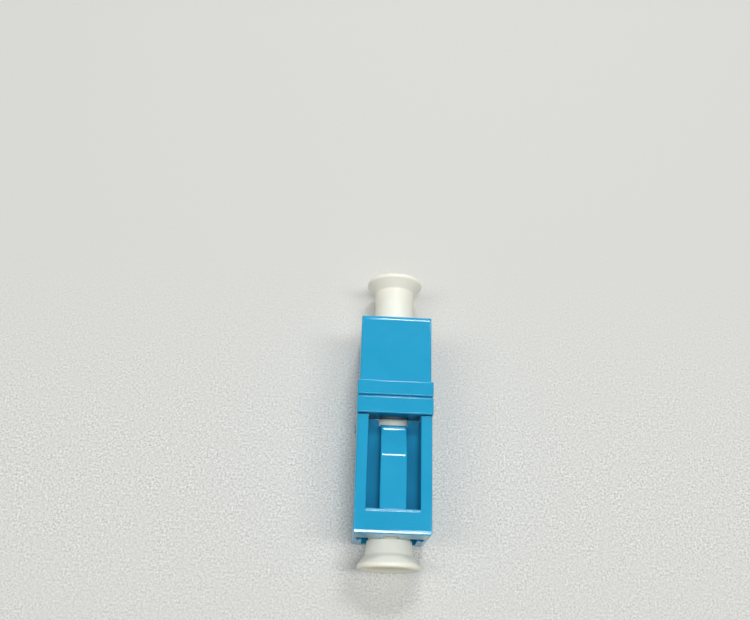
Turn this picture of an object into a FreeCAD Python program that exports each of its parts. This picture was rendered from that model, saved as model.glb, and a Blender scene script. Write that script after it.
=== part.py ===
import FreeCAD, Part
import math
import os

# Simplex fibre adapter with two dust caps, in millimetres.
# Frame: the fibre axis lies along Y, the long housing reaches towards -Y, the latch side faces +Z,
# and the origin is on the underside, below the middle of the length.

V = FreeCAD.Vector

# ---- outer form of the two welded housings ----
front_reach = 12.0            # optical plane to the front end face
rear_reach = 12.0             # optical plane to the rear end face
front_width = 8.1
rear_width = 7.88
front_height = 9.2
rear_height = 9.15
axis_height = 3.6             # fibre axis above the underside
seam_place = 2.5              # weld seam, behind the optical plane
front_collar_length = 1.95
rear_collar_length = 1.75
collar_side_step = 0.1        # collar beyond the front housing, each side
collar_top_step = 0.35        # collar above the front housing
end_slope_length = 0.42       # the top falls gently towards each end face
end_slope_drop = 0.07
end_slope_round = 0.8         # easy bend from the flat top into that fall
end_fillet = 0.1              # round along the top edge of each end face
top_fillet = 0.2              # round along the long top edges
foot_fillet = 0.4             # round along the long bottom edges
corner_fillet = 0.22          # round down the upright end corners
collar_fillet = 0.16
seam_gap = 0.18               # open groove between the two collars, over the weld

# ---- connector port, the same at both ends ----
port_size = 4.6               # square section that takes the plug body
port_corner = 0.25
mouth_width = 5.95            # wider lead-in pocket behind the end face
mouth_depth = 1.1
mouth_floor_drop = 0.45       # lead-in below the port floor
mouth_taper = 0.5             # slope from the lead-in pocket to the port
ear_width = 7.15              # side pockets, level with the port's top
ear_height = 1.9
ear_depth = 2.2
latch_slot_width = 1.6        # channel for the raised rib of the latch
latch_slot_length = 8.9
latch_slot_round = 0.4
latch_mouth_rise = 1.5        # mouth of that channel above the port, through the end plate
latch_mouth_round = 0.3
lug_room_width = 4.4          # room behind the end plate where the latch lugs catch
lug_room_height = 0.5
lug_room_length = 3.6
end_plate_length = 2.6        # solid top plate between the end face and the window

# ---- window with the latch hood, in the top of the front housing ----
window_width = 5.68
window_depth = 2.35
window_fillet = 0.09
window_corner = 0.12
window_lip_round = 0.42       # round along the window's edge on the end plate
hood_width = 2.85
hood_drop = 0.5               # hood top below the top face
hood_roof = 0.6               # plastic between the hood top and the latch channel
hood_flat_end = 3.8           # flat top ends this far in front of the optical plane
hood_slope_end = 0.75         # the slope ends here and a short level nose follows
hood_bend = 2.0               # bend radius where the slope starts and ends
hood_nose_place = 0.27        # nose end in front of the optical plane
hood_nose_drop = 1.45         # nose top below the top face
hood_fillet = 0.18
nose_fillet = 0.26
relief_length = 0.14          # groove across the rails in front of the collar
relief_depth = 0.3
notch_width = 3.2             # opening beside the nose that bares the sleeve holder
notch_under_collar = 0.5
notch_arch_height = 0.75      # height of the notch mouth in the window's end wall
notch_depth = 0.78            # notch below the top of the holder's disc
ledge_rise = 0.2              # arched ledge above the seat of the disc

# ---- sleeve holder and sleeve ----
disc_radius = 2.6
disc_length = 1.2             # both halves together
disc_start = 0.0              # front face of the disc flange
disc_chamfer = 0.1            # on the outer edges of the disc
barrel_radius = 1.5
barrel_reach = 4.9            # barrel tip from the optical plane
barrel_lead = 0.18            # chamfers at the barrel tip
sleeve_length = 6.8
sleeve_outer_radius = 0.825
sleeve_bore_radius = 0.6245
sleeve_slit = 0.2
lip_radius = 0.785            # small lip that keeps the sleeve in
bulkhead_length = 1.2         # wall in front of the disc flange
spigot_wall = 0.7             # wall of the square spigot round the port

# ---- dust caps ----
cap_outer_length = 2.95       # cap beyond the end face when it is home
cap_rim_radius = 3.33
cap_rim_length = 0.45
cap_rim_round = 0.2
cap_cone_end = 1.4            # the cone reaches the waist this far from the outer end
cap_waist_radius = 2.52       # waist, from where the neck thins to its port size
cap_waist_round = 0.35
cap_dish_radius = 2.7
cap_dish_floor_radius = 2.1
cap_dish_depth = 0.3
cap_end_wall = 0.8
cap_lead = 0.25               # chamfer at the open end of the neck
rear_cap_drawn = 3.7          # the rear cap stands drawn out of its port by this much

# ---- clearances ----
disc_gap = 0.05               # disc flange in its seat, all round
spigot_gap = 0.05             # spigot in the square socket, each side
barrel_gap = 0.06             # barrel in the bulkhead hole
sleeve_gap = 0.04             # sleeve in its chamber
halves_gap = 0.02             # between faces that are pressed together
cap_neck_gap = 0.025          # cap neck in the port, each side
cap_barrel_gap = 0.1          # cap bore round the barrel
cap_home_gap = 0.4            # cap neck short of the port's end wall when the cap is home
overrun = 1.0                 # how far a cut runs past the face that it opens
near = 0.001                  # an edge this close to a plane lies in it

cap_neck_radius = port_size / 2 - cap_neck_gap
cap_bore_radius = barrel_radius + cap_barrel_gap


def block(x_size, y_from, y_to, z_from, z_to):
    """Box that is centred on X."""
    box = Part.makeBox(x_size, y_to - y_from, z_to - z_from)
    box.translate(V(-x_size / 2, y_from, z_from))
    return box


def rod(radius, y_from, y_to):
    """Cylinder on the fibre axis."""
    return Part.makeCylinder(radius, y_to - y_from, V(0, y_from, axis_height), V(0, 1, 0))


def runs_along(edge, axis):
    """True where an edge's box is longest along X (0), Y (1) or Z (2)."""
    box = edge.BoundBox
    sizes = [box.XLength, box.YLength, box.ZLength]
    return sizes[axis] == max(sizes)


def on_plane(edge, y_place):
    """True where an edge lies in the plane at one place on Y."""
    return abs(edge.BoundBox.YMin - y_place) < near and abs(edge.BoundBox.YMax - y_place) < near


def round_edges(shape, radius, wanted):
    """Fillet the edges of a shape that the test picks."""
    picked = [edge for edge in shape.Edges if wanted(edge)]
    return shape.makeFillet(radius, picked)


def corner_arc(before, corner, after):
    """Start, middle and end of the round at one corner, given as (y, z, radius)."""
    place = V(0, corner[0], corner[1])
    back = (V(0, before[0], before[1]) - place).normalize()
    ahead = (V(0, after[0], after[1]) - place).normalize()
    half = back.getAngle(ahead) / 2
    run = corner[2] / math.tan(half)
    middle = place + (back + ahead).normalize() * (corner[2] / math.sin(half) - corner[2])
    return place + back * run, middle, place + ahead * run


def outline(corners):
    """Face in the YZ plane from (y, z, radius) corners, each rounded by its own radius."""
    count = len(corners)
    arcs = [corner_arc(corners[i - 1], corners[i], corners[(i + 1) % count]) for i in range(count)]
    edges = []
    for i in range(count):
        start, middle, end = arcs[i]
        if corners[i][2] > 0:
            edges.append(Part.Arc(start, middle, end).toShape())
        edges.append(Part.makeLine(end, arcs[(i + 1) % count][0]))
    return Part.Face(Part.Wire(edges))


def prism_x(corners, width):
    """Outline from (y, z, radius) corners, carried along X and centred."""
    face = outline(corners)
    face.translate(V(-width / 2, 0, 0))
    return face.extrude(V(width, 0, 0))


def mirrored(shape, wanted):
    """The shape itself for the front end, or turned end for end for the rear."""
    return shape.mirror(V(0, 0, 0), V(0, 1, 0)) if wanted else shape


def outer_block(width, height, y_end, y_seam):
    """Body of one housing: what three rounded outlines share, one along each axis."""
    low, high = min(y_end, y_seam), max(y_end, y_seam)
    blank = block(width, low, high, 0, height)
    section = round_edges(blank, foot_fillet, lambda e: runs_along(e, 1) and e.BoundBox.ZMax < near)
    top = height - near
    section = round_edges(section, top_fillet, lambda e: runs_along(e, 1) and e.BoundBox.ZMin > top)
    plan = round_edges(blank, corner_fillet, lambda e: runs_along(e, 2) and on_plane(e, y_end))
    slope_start = y_end + math.copysign(end_slope_length, y_seam - y_end)
    side = prism_x([(y_seam, 0, 0), (y_end, 0, 0), (y_end, height - end_slope_drop, end_fillet),
                    (slope_start, height, end_slope_round), (y_seam, height, 0)], width)
    return section.common(plan).common(side)


def collar(y_from, y_to):
    """Band beside the seam that stands proud at the sides and the top, flush underneath."""
    width = front_width + 2 * collar_side_step
    top = front_height + collar_top_step
    blank = block(width, y_from, y_to, 0, top)
    section = round_edges(blank, foot_fillet, lambda e: runs_along(e, 1) and e.BoundBox.ZMax < near)
    section = round_edges(section, top_fillet, lambda e: runs_along(e, 1) and e.BoundBox.ZMin > top - near)
    plan = round_edges(blank, collar_fillet, lambda e: runs_along(e, 2))
    side = prism_x([(y_from, 0, 0), (y_from, top, collar_fillet),
                    (y_to, top, collar_fillet), (y_to, 0, 0)], width)
    return section.common(plan).common(side)


def port_cut(reach, depth_to):
    """Everything that one connector port takes out of a housing, with its mouth at -Y."""
    mouth = -reach
    half = port_size / 2
    port = block(port_size, mouth - overrun, depth_to, axis_height - half, axis_height + half)
    port = round_edges(port, port_corner, lambda e: runs_along(e, 1))
    top = axis_height + half
    lead_floor = axis_height - half - mouth_floor_drop
    lead = block(mouth_width, mouth - overrun, mouth + mouth_depth, lead_floor, top)
    slope = mouth + mouth_depth
    funnel = Part.makeLoft([
        rectangle(mouth_width, slope, lead_floor, top),
        rectangle(port_size, slope + mouth_taper, axis_height - half, top),
    ], True)
    ears = block(ear_width, mouth - overrun, mouth + ear_depth, top - ear_height, top)
    room_start = mouth + end_plate_length
    room_end = room_start + lug_room_length
    roof = front_height - hood_drop - hood_roof
    channel = latch_channel(latch_slot_round, room_start, mouth + latch_slot_length, roof)
    channel_mouth = latch_channel(latch_mouth_round, mouth - overrun, room_end, top + latch_mouth_rise)
    room = block(lug_room_width, room_start, room_end, axis_height, top + lug_room_height)
    return port.fuse([lead, funnel, ears, channel, channel_mouth, room]).removeSplitter()


def latch_channel(top_round, y_from, y_to, top):
    """Stretch of the channel for the latch rib, round in its upper corners."""
    channel = block(latch_slot_width, y_from, y_to, axis_height, top)
    return round_edges(channel, top_round, lambda e: runs_along(e, 1) and e.BoundBox.ZMin > top - near)


def rectangle(width, y_place, z_from, z_to):
    """Closed wire in a plane across the fibre axis."""
    corners = [V(-width / 2, y_place, z_from), V(width / 2, y_place, z_from),
               V(width / 2, y_place, z_to), V(-width / 2, y_place, z_to)]
    return Part.makePolygon(corners + corners[:1])


def hood():
    """Rib in the window that roofs the latch channel: flat, then sloping down to a short level nose.

    The round starts on the two edges of the flat top and follows them down to the nose.
    """
    top = front_height - hood_drop
    foot = axis_height
    start = -front_reach + end_plate_length - overrun
    nose = front_height - hood_nose_drop
    rib = prism_x([(start, foot, 0), (start, top, 0), (-hood_flat_end, top, hood_bend),
                   (-hood_slope_end, nose, hood_bend), (-hood_nose_place, nose, nose_fillet),
                   (-hood_nose_place, foot, 0)], hood_width)
    return round_edges(rib, hood_fillet, lambda e: runs_along(e, 1) and e.BoundBox.ZMin > top - near)


def window_cut():
    """Open window of the front housing, without the hood that stands in it."""
    start = -front_reach + end_plate_length
    end = seam_place - front_collar_length
    floor = front_height - window_depth
    opening = block(window_width, start, end, floor, front_height + collar_top_step + overrun)
    opening = round_edges(opening, window_corner, lambda e: runs_along(e, 2))
    relief = block(front_width + overrun, end - relief_length, end,
                   front_height - relief_depth, front_height + collar_top_step + overrun)
    return opening.cut(hood()), relief


def window_lip():
    """What a round takes off the end plate, along its edge on the window."""
    start = -front_reach + end_plate_length
    y_place = start - window_lip_round
    z_place = front_height - window_lip_round
    corner = block(window_width, y_place, start + overrun, z_place, front_height + overrun)
    bar = Part.makeCylinder(window_lip_round, front_width, V(-front_width / 2, y_place, z_place), V(1, 0, 0))
    return corner.cut(bar)


def notch_cut():
    """Opening behind the nose of the hood: an arched ledge, then a way down to the sleeve holder."""
    start = -hood_nose_place
    end = seam_place - front_collar_length + notch_under_collar
    floor = front_height - window_depth
    void = block(notch_width, start, end, axis_height + disc_radius - notch_depth, floor + notch_arch_height)
    ledge = rod(disc_radius + disc_gap + ledge_rise, start - overrun, disc_start)
    return void.cut(ledge)


def holder_seat():
    """Seat of the disc flange, square socket of the rear spigot and hole of the front barrel."""
    seat = rod(disc_radius + disc_gap, disc_start - halves_gap, disc_start + disc_length + halves_gap)
    side = port_size + 2 * (spigot_wall + spigot_gap)
    socket = block(side, disc_start + disc_length, seam_place,
                   axis_height - side / 2, axis_height + side / 2)
    hole = rod(barrel_radius + barrel_gap, -bulkhead_length - overrun, disc_start)
    return seat.fuse([socket, hole])


def front_housing():
    """Long half: port, window, hood, collar and the seat of the sleeve holder."""
    body = outer_block(front_width, front_height, -front_reach, seam_place)
    body = body.fuse(collar(seam_place - front_collar_length, seam_place - seam_gap / 2)).removeSplitter()
    opening, relief = window_cut()
    body = body.cut(opening)
    body = body.cut(relief)
    body = soften_window(body)
    body = body.cut(window_lip())
    body = body.cut(port_cut(front_reach, -bulkhead_length))
    body = body.cut(notch_cut())
    return body.cut(holder_seat()).removeSplitter()


def soften_window(body):
    """Small round on the top edges of the window, along the rails and the end plate."""
    end = seam_place - front_collar_length

    def rim(edge):
        box = edge.BoundBox
        flat = box.ZMin > front_height - near and box.ZMax < front_height + near
        inside = max(abs(box.XMin), abs(box.XMax)) < window_width / 2 + near and box.YMax < end
        return flat and inside
    return round_edges(body, window_fillet, rim)


def rear_housing():
    """Short half: port, collar and the spigot that holds the sleeve holder down."""
    body = outer_block(rear_width, rear_height, rear_reach, seam_place)
    body = body.fuse(collar(seam_place + seam_gap / 2, seam_place + rear_collar_length)).removeSplitter()
    side = port_size + 2 * spigot_wall
    spigot = block(side, disc_start + disc_length + halves_gap, seam_place + overrun,
                   axis_height - side / 2, axis_height + side / 2)
    body = body.fuse(spigot)
    inner = disc_start + disc_length
    cut = mirrored(port_cut(rear_reach, -(inner - overrun)), True)
    return body.cut(cut).removeSplitter()


def turned(corners):
    """Solid of revolution about the fibre axis from (y, radius, round) corners."""
    face = outline([(y, axis_height + radius, corner) for y, radius, corner in corners])
    return face.revolve(V(0, 0, axis_height), V(0, 1, 0), 360)


def sleeve_holder(front):
    """One half of the holder: a barrel with a chamber for the sleeve, and half of the disc flange."""
    middle = disc_start + disc_length / 2
    way = -1 if front else 1
    joint = middle + way * halves_gap / 2
    face = disc_start if front else disc_start + disc_length
    tip = way * barrel_reach
    stop = way * (sleeve_length / 2 + sleeve_gap)
    chamber = sleeve_outer_radius + sleeve_gap
    lead = barrel_lead
    return turned([(joint, chamber, 0), (joint, disc_radius, 0), (face - way * disc_chamfer, disc_radius, 0),
                   (face, disc_radius - disc_chamfer, 0), (face, barrel_radius, 0),
                   (tip - way * lead, barrel_radius, 0),
                   (tip, barrel_radius - lead, 0), (tip, lip_radius + lead, 0),
                   (tip - way * lead, lip_radius, 0), (stop, lip_radius, 0), (stop, chamber, 0)])


def split_sleeve():
    """Slit tube that lines up the two ferrules."""
    half = sleeve_length / 2
    tube = rod(sleeve_outer_radius, -half, half).cut(rod(sleeve_bore_radius, -half, half))
    reach = half + overrun
    slit = block(sleeve_slit, -reach, reach, axis_height - 2 * sleeve_outer_radius, axis_height)
    return tube.cut(slit)


def dust_cap(face_place):
    """Hollow cap whose neck runs towards +Y from the end face of the front housing."""
    end = face_place - cap_outer_length
    inner = -bulkhead_length - cap_home_gap + face_place + front_reach
    dish = end + cap_dish_depth
    bore_end = dish + cap_end_wall
    return turned([(dish, 0, 0), (dish, cap_dish_floor_radius, 0), (end, cap_dish_radius, 0),
                   (end, cap_rim_radius, cap_rim_round), (end + cap_rim_length, cap_rim_radius, 0),
                   (end + cap_cone_end, cap_waist_radius, cap_waist_round), (face_place, cap_neck_radius, 0),
                   (inner - cap_lead, cap_neck_radius, 0), (inner, cap_neck_radius - cap_lead, 0),
                   (inner, cap_bore_radius, 0), (bore_end, cap_bore_radius, 0), (bore_end, 0, 0)])


def main():
    nodes = {
        "housing_front": front_housing(),
        "housing_rear": rear_housing(),
        "sleeve_holder_front": sleeve_holder(True),
        "sleeve_holder_rear": sleeve_holder(False),
        "split_sleeve": split_sleeve(),
        "dust_cap_front": dust_cap(-front_reach),
        "dust_cap_rear": mirrored(dust_cap(-rear_reach - rear_cap_drawn), True),
    }
    os.makedirs("parts", exist_ok=True)
    for name, shape in nodes.items():
        solid = shape.Solids[0]
        solid.exportStep("parts/" + name + ".step")
        box = solid.BoundBox
        print(name, len(shape.Solids), "solid", "valid" if solid.isValid() else "NOT VALID",
              "volume %.2f" % solid.Volume,
              "y %.2f to %.2f" % (box.YMin, box.YMax), "z %.2f to %.2f" % (box.ZMin, box.ZMax))


main()
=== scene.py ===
import math
import bpy
import numpy as np
from mathutils import Matrix, Vector


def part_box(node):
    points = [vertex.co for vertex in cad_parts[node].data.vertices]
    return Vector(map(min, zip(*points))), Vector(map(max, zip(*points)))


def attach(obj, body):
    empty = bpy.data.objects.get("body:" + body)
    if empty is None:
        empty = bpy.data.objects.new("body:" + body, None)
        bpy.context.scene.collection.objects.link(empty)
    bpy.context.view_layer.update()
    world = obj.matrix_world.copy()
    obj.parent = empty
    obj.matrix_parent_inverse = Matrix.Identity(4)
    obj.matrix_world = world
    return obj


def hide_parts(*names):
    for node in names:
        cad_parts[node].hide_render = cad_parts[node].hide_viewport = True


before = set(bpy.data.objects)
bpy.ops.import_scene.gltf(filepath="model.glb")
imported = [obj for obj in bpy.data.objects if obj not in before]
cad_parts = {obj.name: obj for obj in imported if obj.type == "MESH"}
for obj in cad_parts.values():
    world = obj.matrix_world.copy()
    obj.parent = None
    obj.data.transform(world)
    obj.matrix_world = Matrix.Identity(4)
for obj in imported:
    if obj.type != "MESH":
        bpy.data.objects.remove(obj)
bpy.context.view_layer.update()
mm = 0.001
scene = bpy.context.scene
scene.view_settings.view_transform = "Standard"

# The adapter lies along Y with its latch window up, and lengths are in metres.


# node helpers, shared by every finish

noiseSpan = (0.3, 0.7)    # most of a noise's values lie in it


def freshMaterial(name):
    material = bpy.data.materials.new(name)
    material.use_nodes = True
    tree = material.node_tree
    shader = tree.nodes["Principled BSDF"]
    place = tree.nodes.new("ShaderNodeTexCoord").outputs["Object"]
    return material, tree, shader, place


def addNoise(tree, place, scale, detail=2.0, rough=0.5):
    node = tree.nodes.new("ShaderNodeTexNoise")
    node.inputs["Scale"].default_value = scale
    node.inputs["Detail"].default_value = detail
    node.inputs["Roughness"].default_value = rough
    tree.links.new(place, node.inputs["Vector"])
    return node.outputs["Fac"]


def addSpots(tree, place, scale):
    node = tree.nodes.new("ShaderNodeTexVoronoi")
    node.inputs["Scale"].default_value = scale
    tree.links.new(place, node.inputs["Vector"])
    return node.outputs["Distance"]


def spread(tree, value, span, result=(0.0, 1.0)):
    # carries the span's two ends to the result's, and holds the value there beyond them
    node = tree.nodes.new("ShaderNodeMapRange")
    node.clamp = True
    for key, number in zip(("From Min", "From Max", "To Min", "To Max"), span + result):
        node.inputs[key].default_value = number
    tree.links.new(value, node.inputs["Value"])
    return node.outputs["Result"]


def blendColours(tree, factor, first, second):
    node = tree.nodes.new("ShaderNodeMix")
    node.data_type = "RGBA"
    tree.links.new(factor, node.inputs[0])
    for socket, colour in ((node.inputs[6], first), (node.inputs[7], second)):
        if isinstance(colour, tuple):
            socket.default_value = colour + (1.0,)
        else:
            tree.links.new(colour, socket)
    return node.outputs[2]


def multiply(tree, first, second):
    node = tree.nodes.new("ShaderNodeMath")
    node.operation = "MULTIPLY"
    tree.links.new(first, node.inputs[0])
    tree.links.new(second, node.inputs[1])
    return node.outputs[0]


def mixShaders(tree, factor, first, second, output):
    node = tree.nodes.new("ShaderNodeMixShader")
    tree.links.new(factor, node.inputs[0])
    tree.links.new(first.outputs[0], node.inputs[1])
    tree.links.new(second.outputs[0], node.inputs[2])
    tree.links.new(node.outputs[0], output.inputs["Surface"])


def addBump(tree, height, depth, normal=None):
    node = tree.nodes.new("ShaderNodeBump")
    node.inputs["Distance"].default_value = depth
    tree.links.new(height, node.inputs["Height"])
    if normal is not None:
        tree.links.new(normal, node.inputs["Normal"])
    return node.outputs["Normal"]


def addOpenness(tree, reach, samples):
    # 1 on open faces, falling towards 0 where the piece's own walls stand close round
    node = tree.nodes.new("ShaderNodeAmbientOcclusion")
    node.samples = samples
    node.only_local = True
    node.inputs["Distance"].default_value = reach
    return node.outputs["AO"]


def addFrontShade(tree, openness, frontSpan, openSpan):
    # weight of a painted shade: how far a face turns to the front of the part, times how closed in it is
    parts = tree.nodes.new("ShaderNodeSeparateXYZ")
    tree.links.new(tree.nodes.new("ShaderNodeTexCoord").outputs["Normal"], parts.inputs[0])
    front = spread(tree, parts.outputs["Y"], frontSpan, (1.0, 0.0))
    return multiply(tree, front, spread(tree, openness, openSpan, (1.0, 0.0)))


def softEdges(tree, radius, samples):
    # turns the shading round at sharp edges, as a moulded edge is never quite sharp
    node = tree.nodes.new("ShaderNodeBevel")
    node.samples = samples
    node.inputs["Radius"].default_value = radius
    return node.outputs["Normal"]


# blue housings: glossy moulded polymer

bluePlasticLook = {
    "colour": (0.023, 0.37, 0.635),
    "deepColour": (0.017, 0.345, 0.60),
    "flow": 240.0,                         # slow variation left by the melt, per metre
    "flowDetail": 3.0,
    "speckColour": (0.30, 0.55, 0.70),
    "specks": 4200.0,                      # small pale dots, only within a few patches
    "speckSpan": (0.07, 0.12),             # of a dot's spacing, from its middle to its edge
    "speckStrength": 0.5,
    "patches": 700.0,
    "patchSpan": (0.66, 0.74),             # noise values between which the dots set in
    "recessColour": (0.001, 0.145, 0.31),  # painted shade in pockets and ports
    "recessReach": 2.4 * mm,
    "recessSpan": (0.1, 0.75),             # openness, from full shade to none
    "recessSamples": 8,
    "frontShadeColour": (0.001, 0.03, 0.07),     # painted deeper shade, on the closed-in walls that face the front
    "darkSpan": (0.35, 0.85),              # openness again
    "frontSpan": (-0.9, -0.4),             # Y of the face's direction, from full shade to none
    "roughness": (0.07, 0.11),
    "wearDetail": 4.0,
    "wearRough": 0.6,
    "peel": 2400.0,                        # faint orange peel
    "peelDepth": 0.0007 * mm,
    "edgeRound": 0.08 * mm,
    "edgeSamples": 6,
    "index": 1.5,
}


def makeBluePlastic():
    look = bluePlasticLook
    material, tree, shader, place = freshMaterial("blueMouldedPlastic")
    flow = spread(tree, addNoise(tree, place, look["flow"], look["flowDetail"]), noiseSpan)
    colour = blendColours(tree, flow, look["deepColour"], look["colour"])
    specks = spread(tree, addSpots(tree, place, look["specks"]), look["speckSpan"], (1.0, 0.0))
    patchNoise = addNoise(tree, place, look["patches"])
    patches = spread(tree, patchNoise, look["patchSpan"], (0.0, look["speckStrength"]))
    colour = blendColours(tree, multiply(tree, specks, patches), colour, look["speckColour"])
    # painted shade where the piece's own walls close in round a face
    openness = addOpenness(tree, look["recessReach"], look["recessSamples"])
    shade = spread(tree, openness, look["recessSpan"], (1.0, 0.0))
    colour = blendColours(tree, shade, colour, look["recessColour"])
    # painted deeper shade on closed-in walls that face the front
    frontShade = addFrontShade(tree, openness, look["frontSpan"], look["darkSpan"])
    colour = blendColours(tree, frontShade, colour, look["frontShadeColour"])
    tree.links.new(colour, shader.inputs["Base Color"])
    wear = addNoise(tree, place, look["patches"], look["wearDetail"], look["wearRough"])
    tree.links.new(spread(tree, wear, noiseSpan, look["roughness"]), shader.inputs["Roughness"])
    peel = addNoise(tree, place, look["peel"])
    rounded = softEdges(tree, look["edgeRound"], look["edgeSamples"])
    tree.links.new(addBump(tree, peel, look["peelDepth"], rounded), shader.inputs["Normal"])
    shader.inputs["IOR"].default_value = look["index"]
    return material


# pale pieces: holder, caps and ceramic sleeve

paleLook = {
    "cloudDetail": 3.0,
    "cloudSpan": (0.32, 0.68),
    "index": 1.5,
}

whitePlasticLook = {
    **paleLook,
    "colour": (0.73, 0.79, 0.76),
    "shade": (0.64, 0.70, 0.66),
    "roughness": (0.38, 0.5),
    "clouds": 700.0,
    "grain": 9000.0,
    "grainDepth": 0.0015 * mm,
}

capPlasticLook = {
    **paleLook,
    "colour": (0.97, 0.945, 0.83),
    "shade": (0.95, 0.93, 0.80),
    "dishShadeColour": (0.66, 0.65, 0.44),      # painted shade in the dish, where only a thin wall backs it over the bore
    "roughness": (0.34, 0.46),
    "clouds": 330.0,
    "grain": 5200.0,
    "grainDepth": 0.002 * mm,
    "soak": 0.08,                          # light soaks a little way into thin polyolefin
    "soakDepth": 0.5 * mm,
    "soakColour": (1.0, 0.9, 0.6),
}

zirconiaLook = {
    **paleLook,
    "colour": (0.88, 0.88, 0.85),
    "shade": (0.83, 0.83, 0.79),
    "roughness": (0.1, 0.18),
    "clouds": 1500.0,
    "grain": 26000.0,
    "grainDepth": 0.0004 * mm,
}


def makePaleFinish(name, look):
    material, tree, shader, place = freshMaterial(name)
    clouds = addNoise(tree, place, look["clouds"], look["cloudDetail"])
    colour = blendColours(tree, spread(tree, clouds, look["cloudSpan"]), look["shade"], look["colour"])
    # painted shade in the dish, darkest over the bore
    if "dishShadeColour" in look:
        dishShade = tree.nodes.new("ShaderNodeAttribute")
        dishShade.attribute_name = "dishShadeWeight"
        colour = blendColours(tree, dishShade.outputs["Fac"], colour, look["dishShadeColour"])
    tree.links.new(colour, shader.inputs["Base Color"])
    grain = addNoise(tree, place, look["grain"])
    tree.links.new(spread(tree, grain, noiseSpan, look["roughness"]), shader.inputs["Roughness"])
    tree.links.new(addBump(tree, grain, look["grainDepth"]), shader.inputs["Normal"])
    shader.inputs["IOR"].default_value = look["index"]
    if "soak" in look:
        shader.inputs["Subsurface Weight"].default_value = look["soak"]
        shader.inputs["Subsurface Radius"].default_value = look["soakColour"]
        shader.inputs["Subsurface Scale"].default_value = look["soakDepth"]
    return material


bluePlastic = makeBluePlastic()
whitePlastic = makePaleFinish("whiteHolderPlastic", whitePlasticLook)
capPlastic = makePaleFinish("ivoryCapPlastic", capPlasticLook)
zirconia = makePaleFinish("zirconiaCeramic", zirconiaLook)
print("finishes made")


# housings, holders and sleeve keep the frame's own solids

solidShading = {
    "sharpFrom": math.radians(18.5),       # faces that meet at less than this are shaded as one
    "joinWithin": 0.0005 * mm,
}


def makeSoftShading():
    # joins the loose triangles, shades every face smooth and then marks the sharp edges
    group = bpy.data.node_groups.new("softShading", "GeometryNodeTree")
    group.interface.new_socket("Geometry", in_out="INPUT", socket_type="NodeSocketGeometry")
    group.interface.new_socket("Geometry", in_out="OUTPUT", socket_type="NodeSocketGeometry")
    nodes, links = group.nodes, group.links
    start = nodes.new("NodeGroupInput")
    finish = nodes.new("NodeGroupOutput")
    join = nodes.new("GeometryNodeMergeByDistance")
    join.inputs["Distance"].default_value = solidShading["joinWithin"]
    smoothFaces = nodes.new("GeometryNodeSetShadeSmooth")
    smoothFaces.domain = "FACE"
    sharpEdges = nodes.new("GeometryNodeSetShadeSmooth")
    sharpEdges.domain = "EDGE"
    sharpEdges.inputs["Shade Smooth"].default_value = False
    edgeAngle = nodes.new("GeometryNodeInputMeshEdgeAngle")
    isSharp = nodes.new("FunctionNodeCompare")
    isSharp.data_type = "FLOAT"
    isSharp.operation = "GREATER_THAN"
    isSharp.inputs[1].default_value = solidShading["sharpFrom"]
    links.new(start.outputs[0], join.inputs["Geometry"])
    links.new(join.outputs[0], smoothFaces.inputs["Geometry"])
    links.new(smoothFaces.outputs[0], sharpEdges.inputs["Geometry"])
    links.new(edgeAngle.outputs[0], isSharp.inputs[0])
    links.new(isSharp.outputs[0], sharpEdges.inputs["Selection"])
    links.new(sharpEdges.outputs[0], finish.inputs[0])
    return group


softShading = makeSoftShading()

nodeFinish = {
    "housing_front": bluePlastic,
    "housing_rear": bluePlastic,
    "sleeve_holder_front": whitePlastic,
    "sleeve_holder_rear": whitePlastic,
    "split_sleeve": zirconia,
}


def dressNode(name, material):
    # the weighted normals keep the flat faces plain beside their small rounds
    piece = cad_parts[name]
    piece.data.materials.clear()
    piece.data.materials.append(material)
    shading = piece.modifiers.new("softShading", "NODES")
    shading.node_group = softShading
    flatten = piece.modifiers.new("flatFacesStayFlat", "WEIGHTED_NORMAL")
    flatten.keep_sharp = True


for nodeName, nodeMaterial in nodeFinish.items():
    dressNode(nodeName, nodeMaterial)
print("solids dressed")


# dust caps: turned surfaces about the fibre axis

capSize = {
    "rimLength": 0.45 * mm,                # places along a cap are measured from its outer end
    "rimRound": 0.2 * mm,
    "backRound": 0.25 * mm,                # where the rim turns into the cone
    "mouth": 2.97 * mm,                    # where the neck enters the port when the cap is home
    "boreRadius": 1.6 * mm,
    "dishRadius": 2.7 * mm,
    "dishFloorRadius": 2.1 * mm,
    "dishDepth": 0.3 * mm,
    "dishRound": 0.1 * mm,
    "dishFloorRound": 0.4 * mm,
    "endWall": 0.8 * mm,
    "leadIn": 0.25 * mm,
    "leadRound": 0.06 * mm,
    "gateRadius": 0.42 * mm,               # shallow round gate mark in the middle of the dish
    "gateDepth": 0.05 * mm,
    "gatePower": 4,
    "gateRows": 10,
    "gateMargin": 1.2,                     # the dish's floor starts at this many gate radii
    "arcSteps": 10,
    "around": 192,
    "sharpFrom": math.radians(35),
}

# the two mouldings differ a little: the front one has a stouter waist and a small stop shoulder
frontCapSize = {
    **capSize,
    "rimRadius": 3.38 * mm,
    "coneEnd": 1.42 * mm,
    "waistRadius": 2.64 * mm,
    "waistRound": 0.6 * mm,
    "shoulderRadius": 2.43 * mm,
    "neckRadius": 2.275 * mm,
}
rearCapSize = {
    **capSize,
    "rimRadius": 3.27 * mm,
    "coneEnd": 1.5 * mm,
    "waistRadius": 2.33 * mm,
    "waistRound": 0.35 * mm,
    "shoulderRadius": 2.285 * mm,
    "neckRadius": 2.26 * mm,
}


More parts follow.
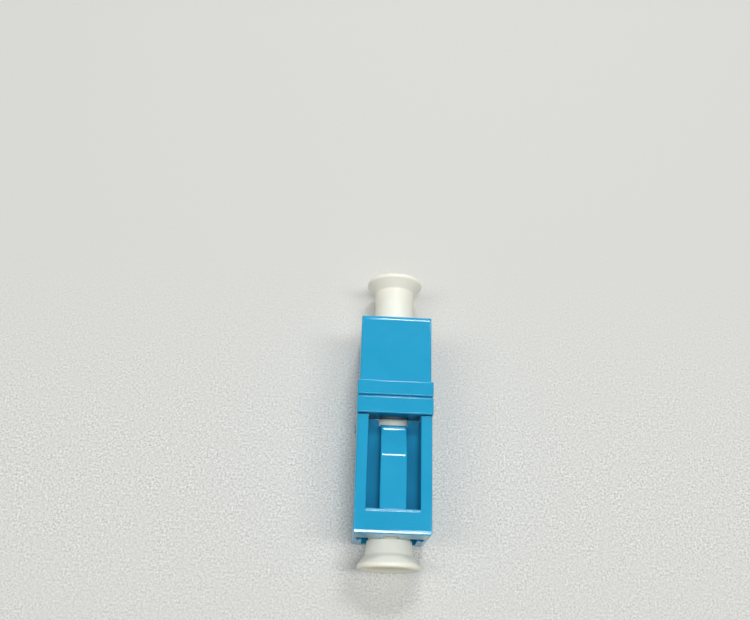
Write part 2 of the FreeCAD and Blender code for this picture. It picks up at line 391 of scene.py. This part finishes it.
def roundedLine(corners, steps):
    # every corner (distance, radius, round) turns into an arc that touches both of its runs: the arc
    # starts round / tan(half the corner's angle) away, and its centre is round / sin(half) along the
    # middle line
    pieces = [np.array([corners[0][:2]])]
    for before, corner, after in zip(corners, corners[1:], corners[2:]):
        here = np.array(corner[:2])
        back = np.array(before[:2]) - here
        ahead = np.array(after[:2]) - here
        back /= np.linalg.norm(back)
        ahead /= np.linalg.norm(ahead)
        half = math.acos(np.clip(back @ ahead, -1, 1)) / 2
        middle = (back + ahead) / np.linalg.norm(back + ahead)
        across = (ahead - back) / np.linalg.norm(ahead - back)
        radius = corner[2]
        centre = here + middle * radius / math.sin(half)
        reach = math.pi / 2 - half
        sweep = np.linspace(-reach, reach, steps if radius > 0 else 1)[:, None]
        pieces.append(centre + radius * (across * np.sin(sweep) - middle * np.cos(sweep)))
    pieces.append(np.array([corners[-1][:2]]))
    return np.concatenate(pieces)


def capProfile(s, length):
    # outline from the middle of the dish, round the rim, along the neck and back up the bore
    floor = s["dishDepth"]
    boreEnd = floor + s["endWall"]
    corners = [
        (floor, s["gateRadius"] * s["gateMargin"], 0.0),
        (floor, s["dishFloorRadius"], s["dishFloorRound"]),
        (0.0, s["dishRadius"], s["dishRound"]),
        (0.0, s["rimRadius"], s["rimRound"]),
        (s["rimLength"], s["rimRadius"], s["backRound"]),
        (s["coneEnd"], s["waistRadius"], s["waistRound"]),
        (s["mouth"] - s["leadRound"], s["shoulderRadius"], 0.0),
        (s["mouth"], s["neckRadius"], 0.0),
        (length - s["leadIn"], s["neckRadius"], s["leadRound"]),
        (length, s["neckRadius"] - s["leadIn"], s["leadRound"]),
        (length, s["boreRadius"], s["leadRound"]),
        (boreEnd, s["boreRadius"], s["leadRound"]),
        (boreEnd, 0.0, 0.0)]
    # the gate mark's extra depth is full in the middle and falls to nothing at its radius, by 1 less the
    # radius's share raised to gatePower
    share = np.linspace(0, 1, s["gateRows"])
    gate = np.stack([floor + s["gateDepth"] * (1 - share ** s["gatePower"]), share * s["gateRadius"]], 1)
    return np.concatenate([gate, roundedLine(corners, s["arcSteps"])])


def turnProfile(name, s, profile, start, way, height):
    # every profile row, a distance and a radius, is carried round the fibre axis: x is the radius times
    # the sine of the angle, z the axis's height plus the radius times its cosine, and y the start plus
    # the distance, inwards
    around = s["around"]
    angle = np.arange(around) * (2 * math.pi / around)
    inner = profile[1:-1]
    grid = np.empty((len(inner), around, 3))
    grid[..., 0] = inner[:, 1, None] * np.sin(angle)
    grid[..., 1] = start + way * inner[:, 0, None]
    grid[..., 2] = height + inner[:, 1, None] * np.cos(angle)
    poles = np.array([[0, start + way * d, height] for d in (profile[0, 0], profile[-1, 0])])
    points = np.concatenate([grid.reshape(-1, 3), poles])
    row = np.arange(len(inner) - 1)[:, None] * around
    here = np.arange(around)
    ahead = (here + 1) % around
    quads = np.stack([row + here, row + ahead, row + around + ahead, row + around + here], -1)
    quads = quads.reshape(-1, 4)
    last = (len(inner) - 1) * around
    firstPole = np.stack([np.full(around, len(points) - 2), ahead, here], 1)
    lastPole = np.stack([np.full(around, len(points) - 1), last + here, last + ahead], 1)
    if way > 0:    # keeps the faces pointing outwards on both caps
        quads, firstPole, lastPole = quads[:, ::-1], firstPole[:, ::-1], lastPole[:, ::-1]
    mesh = bpy.data.meshes.new(name)
    mesh.from_pydata(points.tolist(), [], quads.tolist() + firstPole.tolist() + lastPole.tolist())
    mesh.polygons.foreach_set("use_smooth", [True] * len(mesh.polygons))
    mesh.set_sharp_from_angle(angle=s["sharpFrom"])
    mesh.update()
    piece = bpy.data.objects.new(name, mesh)
    bpy.context.collection.objects.link(piece)
    return piece


def markDishShade(piece, s, start, way, height):
    # weight of the dish's painted shade: in the dish, 1 over the bore, falling evenly with the radius to
    # 0 at the dish's edge, and 0 on the rest of the cap
    mesh = piece.data
    points = np.empty(len(mesh.vertices) * 3)
    mesh.vertices.foreach_get("co", points)
    points = points.reshape(-1, 3)
    radius = np.hypot(points[:, 0], points[:, 2] - height)
    depth = way * (points[:, 1] - start)
    inDish = depth < s["dishDepth"] + 2 * s["gateDepth"]
    fade = np.clip((s["dishRadius"] - radius) / (s["dishRadius"] - s["boreRadius"]), 0, 1)
    dishShade = np.where(inDish, fade, 0.0)
    mesh.attributes.new("dishShadeWeight", "FLOAT", "POINT").data.foreach_set("value", dishShade)


def makeCap(name, s, node, body, way):
    low, high = (Vector(corner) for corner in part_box(node))
    start = low.y if way > 0 else high.y
    height = (low.z + high.z) / 2
    piece = turnProfile(name, s, capProfile(s, high.y - low.y), start, way, height)
    # weights the painted shade in the dish
    markDishShade(piece, s, start, way, height)
    piece.data.materials.append(capPlastic)
    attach(piece, body)
    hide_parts(node)


makeCap("frontCap", frontCapSize, "dust_cap_front", "front_cap", 1)
makeCap("rearCap", rearCapSize, "dust_cap_rear", "rear_cap", -1)
print("caps turned")


# floor, lamps and camera

roomLook = {
    "light": (0.13, 0.13, 0.125),          # comes from all round
    "beyond": (0.70, 0.70, 0.675),         # what the camera sees beyond the lit table
    "lampDistance": 0.5,
}

floorLook = {
    "size": 8.0,
    "colour": (0.675, 0.675, 0.65),
    "light": (0.90, 0.905, 0.88),
    "frontShade": (0.46, 0.46, 0.44),
    "grain": 4300.0,
    "grainDetail": 1.0,
    "mottle": 420.0,
    "mottleDetail": 3.0,
    "mottleStrength": (0.35, 0.8),
    "frontFade": (-35 * mm, -8 * mm),      # the grain is faint far in front of the part
    "frontStrength": (0.35, 1.0),
    "backFade": (-2 * mm, 24 * mm),        # and all but gone behind it
    "backStrength": (1.0, 0.05),
    "farFade": (0.12, 0.40),               # metres out, where the tone beyond takes over
    "roughness": 0.7,
    "gloss": 0.2,
}


def makeFloor():
    look = floorLook
    half = look["size"] / 2
    corners = [(-half, -half, 0), (half, -half, 0), (half, half, 0), (-half, half, 0)]
    mesh = bpy.data.meshes.new("floor")
    mesh.from_pydata(corners, [], [(0, 1, 2, 3)])
    floor = bpy.data.objects.new("floor", mesh)
    bpy.context.collection.objects.link(floor)
    material, tree, shader, place = freshMaterial("paleTable")
    grain = spread(tree, addNoise(tree, place, look["grain"], look["grainDetail"]), noiseSpan)
    fine = blendColours(tree, grain, look["frontShade"], look["light"])
    mottle = addNoise(tree, place, look["mottle"], look["mottleDetail"])
    mottle = spread(tree, mottle, noiseSpan, look["mottleStrength"])
    along = tree.nodes.new("ShaderNodeSeparateXYZ")
    tree.links.new(place, along.inputs[0])
    front = spread(tree, along.outputs["Y"], look["frontFade"], look["frontStrength"])
    back = spread(tree, along.outputs["Y"], look["backFade"], look["backStrength"])
    strength = multiply(tree, mottle, multiply(tree, front, back))
    tree.links.new(blendColours(tree, strength, look["colour"], fine), shader.inputs["Base Color"])
    shader.inputs["Roughness"].default_value = look["roughness"]
    shader.inputs["Specular IOR Level"].default_value = look["gloss"]
    away = tree.nodes.new("ShaderNodeVectorMath")
    away.operation = "LENGTH"
    tree.links.new(place, away.inputs[0])
    far = spread(tree, away.outputs["Value"], look["farFade"])
    seen = tree.nodes.new("ShaderNodeLightPath").outputs["Is Camera Ray"]
    glow = tree.nodes.new("ShaderNodeEmission")
    glow.inputs["Color"].default_value = roomLook["beyond"] + (1.0,)
    mixShaders(tree, multiply(tree, far, seen), shader, glow, tree.nodes["Material Output"])
    floor.data.materials.append(material)


# toward points from the part to the lamp, size is in metres and power in watts
lampPlan = {
    "key": {"toward": (0.38, -0.06, 0.92), "size": (0.28, 0.08), "power": 0.70},
    "zenith": {"toward": (0.0, -0.165, 0.986), "size": (0.15, 0.05), "power": 0.60},
    "fill": {"toward": (-0.50, -0.08, 0.86), "size": (0.28, 0.14), "power": 0.50},
    "backHigh": {"toward": (0.08, 0.54, 0.84), "size": (0.10, 0.07), "power": 0.58},
    "backLow": {"toward": (0.06, 0.94, 0.34), "size": (0.08, 0.16), "power": 0.44},
}


def makeLamps():
    for name, plan in lampPlan.items():
        data = bpy.data.lights.new(name, "AREA")
        data.shape = "RECTANGLE"
        data.size, data.size_y = plan["size"]
        data.energy = plan["power"]
        lamp = bpy.data.objects.new(name, data)
        toward = Vector(plan["toward"]).normalized()
        above = toward.cross(Vector((1, 0, 0))).normalized()
        turn = Matrix((above.cross(toward), above, toward)).transposed().to_4x4()
        lamp.matrix_world = Matrix.Translation(toward * roomLook["lampDistance"]) @ turn
        bpy.context.collection.objects.link(lamp)
    world = bpy.data.worlds.new("room")
    world.use_nodes = True
    tree = world.node_tree
    around = tree.nodes["Background"]
    around.inputs["Color"].default_value = roomLook["light"] + (1.0,)
    beyond = tree.nodes.new("ShaderNodeBackground")
    beyond.inputs["Color"].default_value = roomLook["beyond"] + (1.0,)
    seen = tree.nodes.new("ShaderNodeLightPath").outputs["Is Camera Ray"]
    mixShaders(tree, seen, around, beyond, tree.nodes["World Output"])
    scene.world = world


cameraPlace = {
    "target": (-2.376 * mm, 14.497 * mm, 5.0 * mm),
    "elevation": 66.162,
    "azimuth": 4.763,
    "roll": 7.059,
    "away": 94.766 * mm,
    "sensor": 36.0,
    "lens": 38.10,
    "nearest": 5 * mm,                     # nothing closer to the camera than this is drawn
}


def makeCamera():
    # looks down at the target from the front, then turns about its own line of sight
    s = cameraPlace
    up, side, tilt = (math.radians(s[key]) for key in ("elevation", "azimuth", "roll"))
    look = Vector((math.sin(side) * math.cos(up), math.cos(side) * math.cos(up), -math.sin(up)))
    right = look.cross(Vector((0, 0, 1))).normalized()
    above = right.cross(look)
    turnedRight = right * math.cos(tilt) + above * math.sin(tilt)
    turnedAbove = above * math.cos(tilt) - right * math.sin(tilt)
    data = bpy.data.cameras.new("camera")
    data.sensor_width = s["sensor"]
    data.lens = s["lens"]
    data.clip_start = s["nearest"]
    camera = bpy.data.objects.new("camera", data)
    turn = Matrix((turnedRight, turnedAbove, -look)).transposed().to_4x4()
    camera.matrix_world = Matrix.Translation(Vector(s["target"]) - look * s["away"]) @ turn
    bpy.context.collection.objects.link(camera)
    scene.camera = camera


makeFloor()
makeLamps()
makeCamera()
print("stage set")
